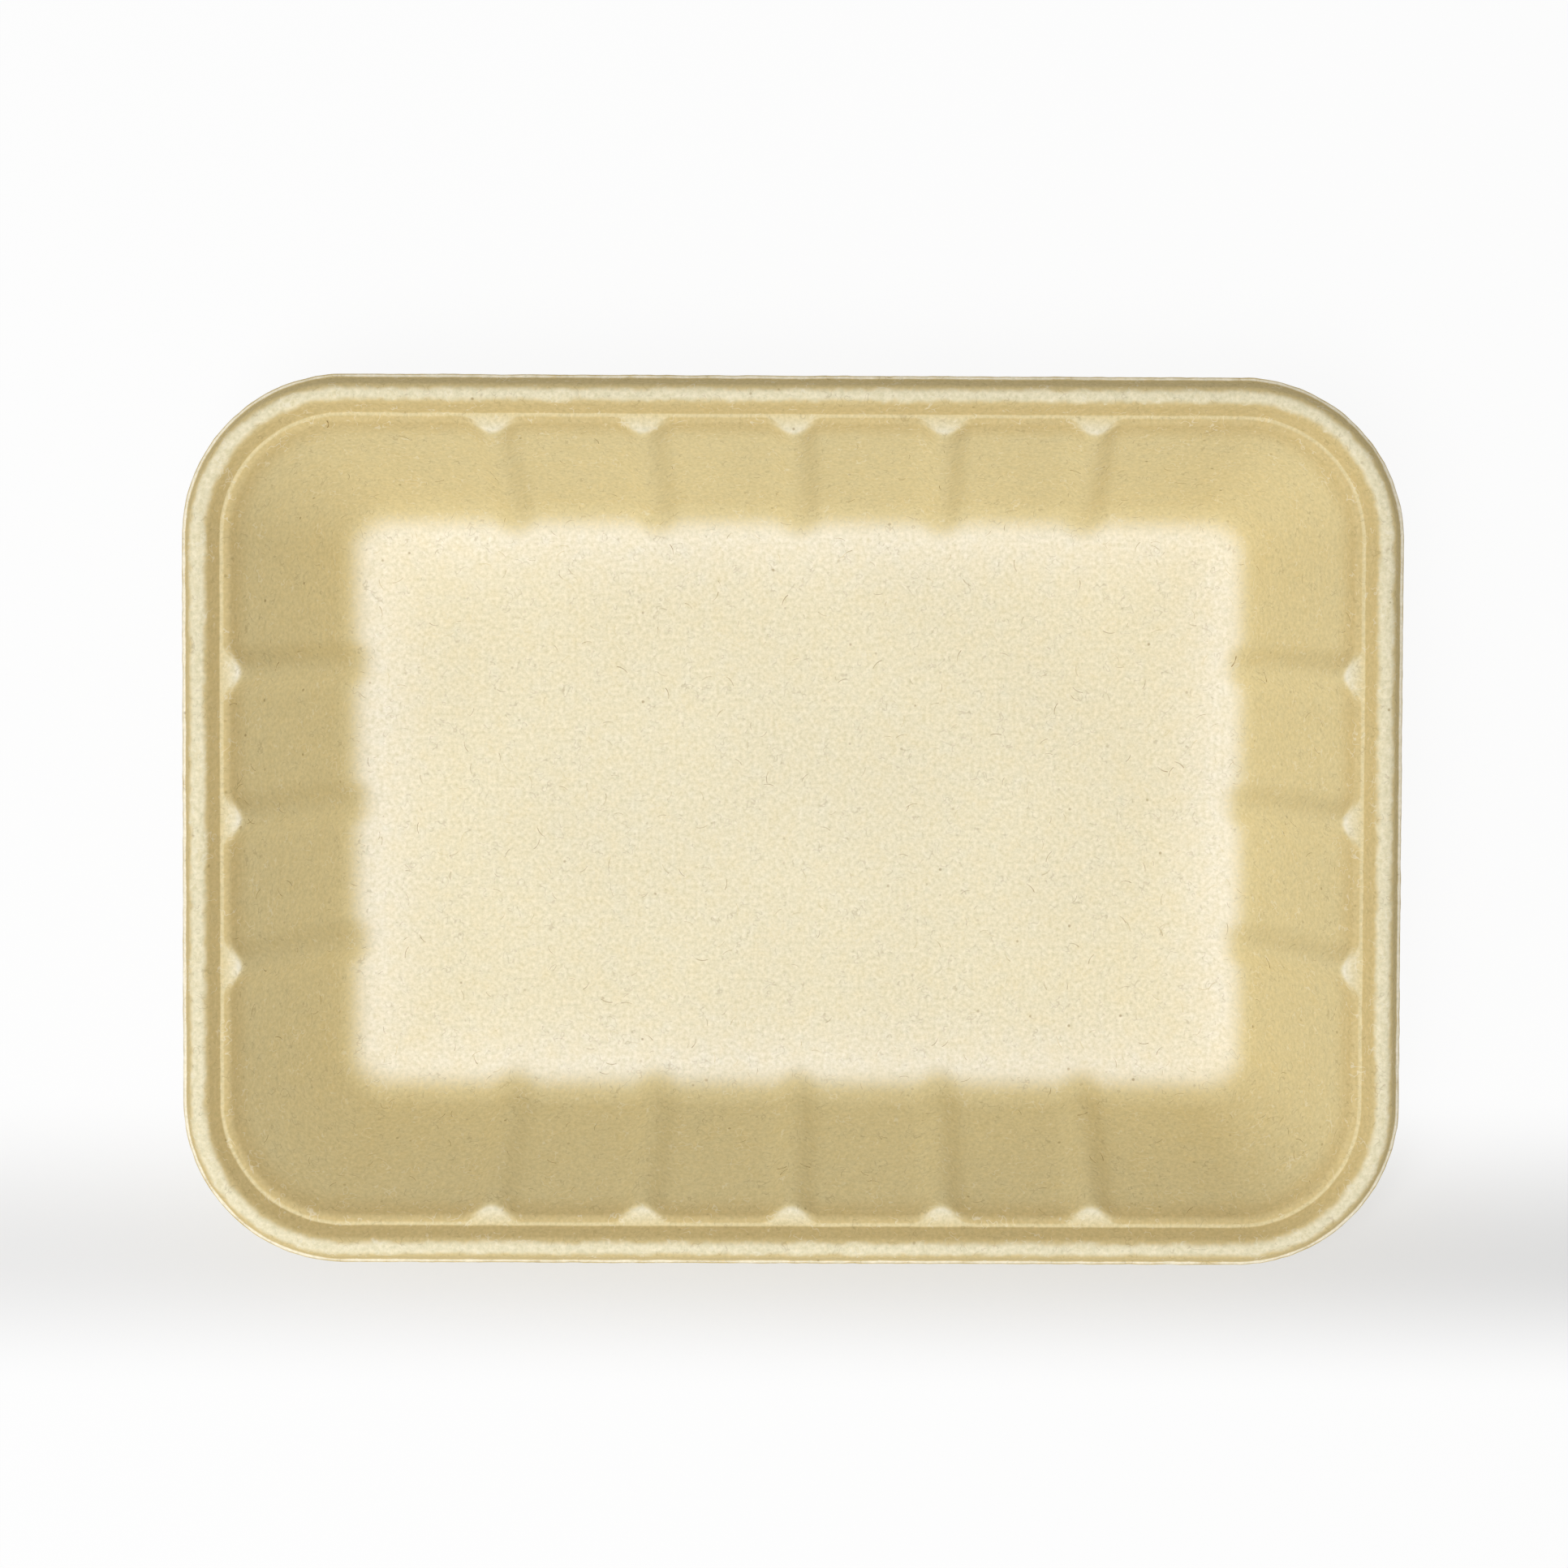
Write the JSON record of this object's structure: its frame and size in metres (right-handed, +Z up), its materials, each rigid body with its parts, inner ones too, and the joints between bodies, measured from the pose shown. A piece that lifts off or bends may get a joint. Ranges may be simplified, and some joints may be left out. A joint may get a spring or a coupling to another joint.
{
  "type": "bagasse serving tray",
  "caption": "Shallow rectangular serving tray moulded from bagasse pulp, with rounded corners, a raised rim, a narrow inner ledge and ribbed sloping walls.",
  "frame": {"origin": "middle of the flat base, on the surface that the tray stands on", "axes": "+X along the tray's length, +Y along its width, +Z up out of the open basin"},
  "size_m": [0.23, 0.168, 0.038],
  "materials": {
    "pulp": "matt pressed bagasse pulp, unbleached cream, with fine fibres"
  },
  "bodies": {
    "root": {"tray": "pulp"}
  },
  "joints": []
}
